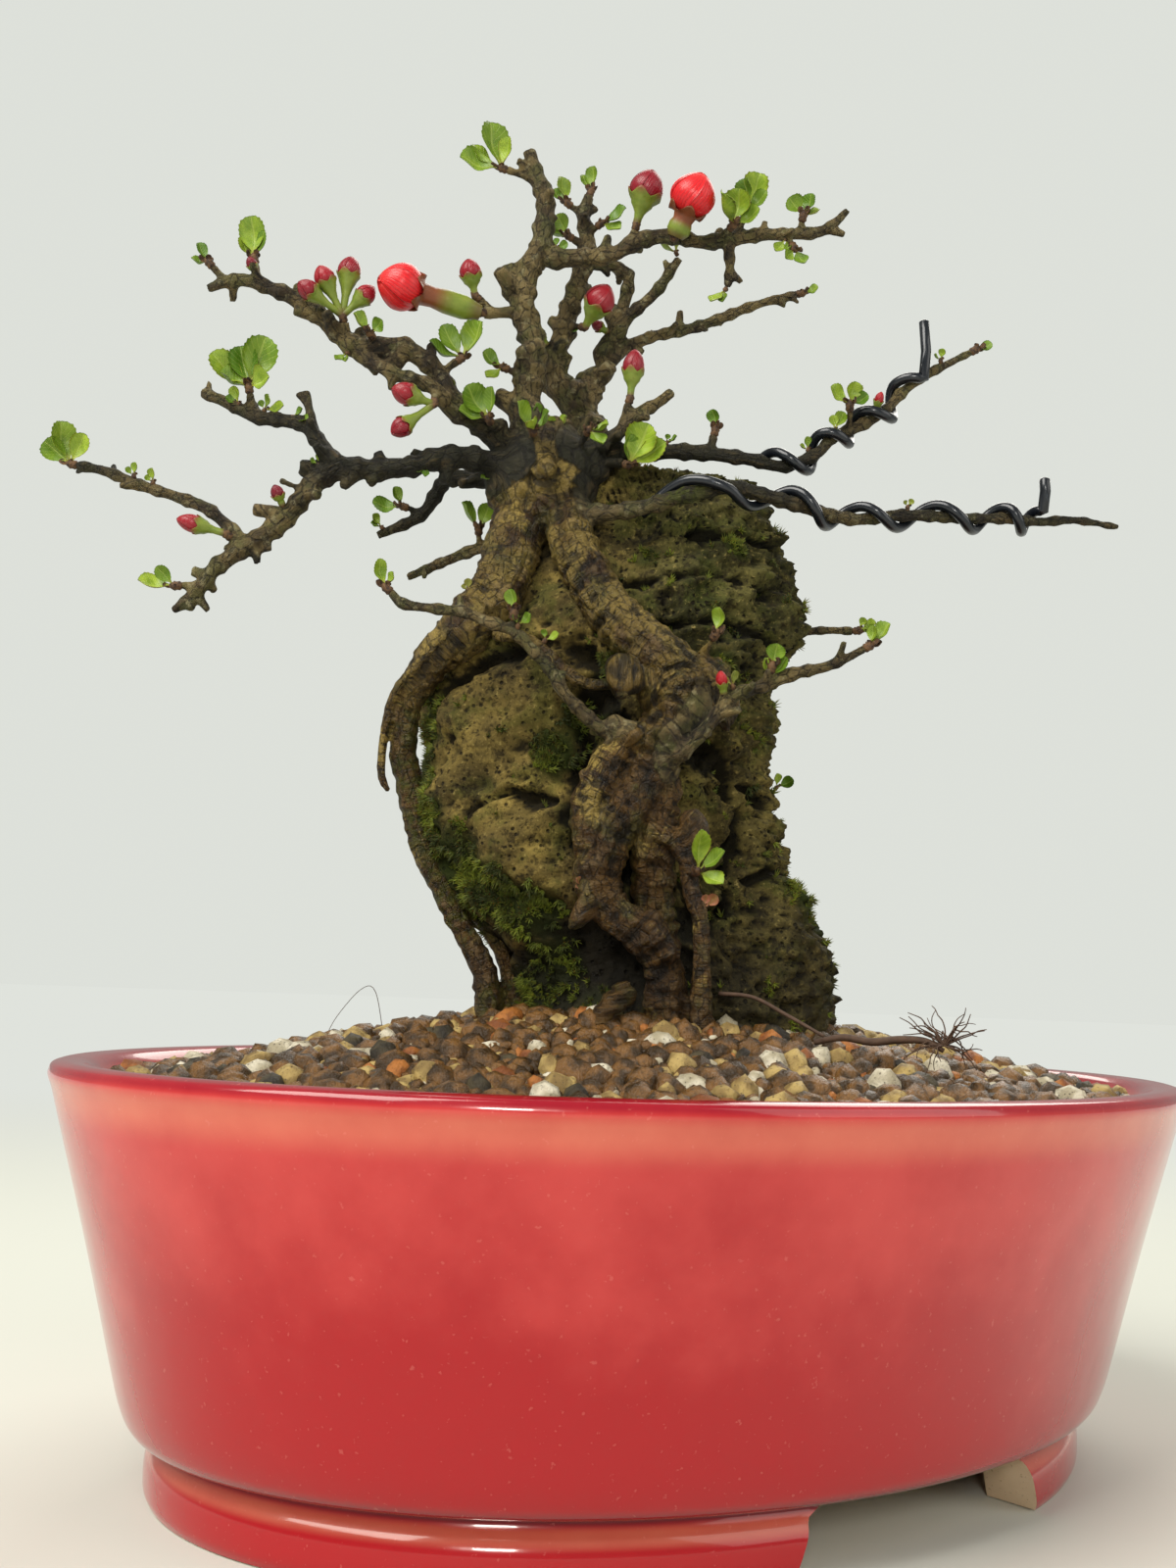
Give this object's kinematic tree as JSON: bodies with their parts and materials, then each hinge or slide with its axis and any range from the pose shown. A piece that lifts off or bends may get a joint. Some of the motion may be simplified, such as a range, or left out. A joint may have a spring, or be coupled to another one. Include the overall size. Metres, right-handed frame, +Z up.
{
  "type": "japanese quince bonsai",
  "caption": "Small root-over-rock flowering quince bonsai in bud, with training wire, in an oval red-glazed pot with cut feet.",
  "frame": {"origin": "on the ground under the middle of the pot", "axes": "X along the pot's long axis, Y along its short axis and through the gap between its feet, Z up; the tree's front faces between -Y and -X, 40 degrees from the pot's long side"},
  "size_m": [0.202, 0.16, 0.2276],
  "materials": {
    "glaze": "glossy mottled red glaze",
    "mesh": "matte black plastic",
    "clip": "dull bent wire",
    "soil": "wet fired clay and pumice grains",
    "rock": "rough porous rock with moss",
    "bark": "rough flaking bark",
    "wire": "dark anodised, glossy",
    "leaf": "soft young leaf",
    "calyx": "smooth green sepal",
    "petal": "satin red petal"
  },
  "bodies": {
    "root": {"pot": "glaze", "drain_screen_left": "mesh", "drain_clip_left": "clip", "drain_screen_right": "mesh", "drain_clip_right": "clip", "tree": "bark", "rock": "rock", "soil": "soil", "wire_right_low": "wire", "wire_right_rising": "wire", "leaves_apex": "leaf", "leaves_second_top": "leaf", "leaves_second_side": "leaf", "leaves_second_right": "leaf", "leaves_second_left": "leaf", "leaves_upper_high": "leaf", "leaves_upper_broad": "leaf", "leaves_upper_end": "leaf", "leaves_upper_low": "leaf", "leaves_middle_end": "leaf", "leaves_low_tuft": "leaf", "leaves_trunk_front": "leaf", "leaves_trunk_right": "leaf", "leaves_trunk_left": "leaf", "leaves_leader": "leaf", "leaves_left_tip": "leaf", "leaves_left_near_tip": "leaf", "leaves_left_mid": "leaf", "leaves_left_round": "leaf", "leaves_lower_tip": "leaf", "leaves_far_tip": "leaf", "leaves_fork": "leaf", "leaves_back": "leaf", "leaves_low_back": "leaf", "leaves_shoot_left": "leaf", "leaves_shoot_right": "leaf", "leaves_rising": "leaf", "leaves_root": "leaf", "leaves_shoot_left_mid": "leaf", "leaves_shoot_right_mid": "leaf", "leaves_rising_end": "leaf", "leaves_crest": "leaf", "leaves_burl": "leaf", "leaves_back_shoot": "leaf", "petals_ball_left": "petal", "calyx_ball_left": "calyx", "petals_left_small": "petal", "calyx_ball_left_small": "calyx", "buds_bunch": "petal", "buds_pair": "petal", "petals_lower": "petal", "calyx_lower": "calyx", "petals_upper": "petal", "calyx_upper": "calyx", "petals_ball_right": "petal", "calyx_ball_right": "calyx", "petals_middle": "petal", "calyx_middle": "calyx", "petals_low": "petal", "calyx_low": "calyx"}
  },
  "joints": []
}
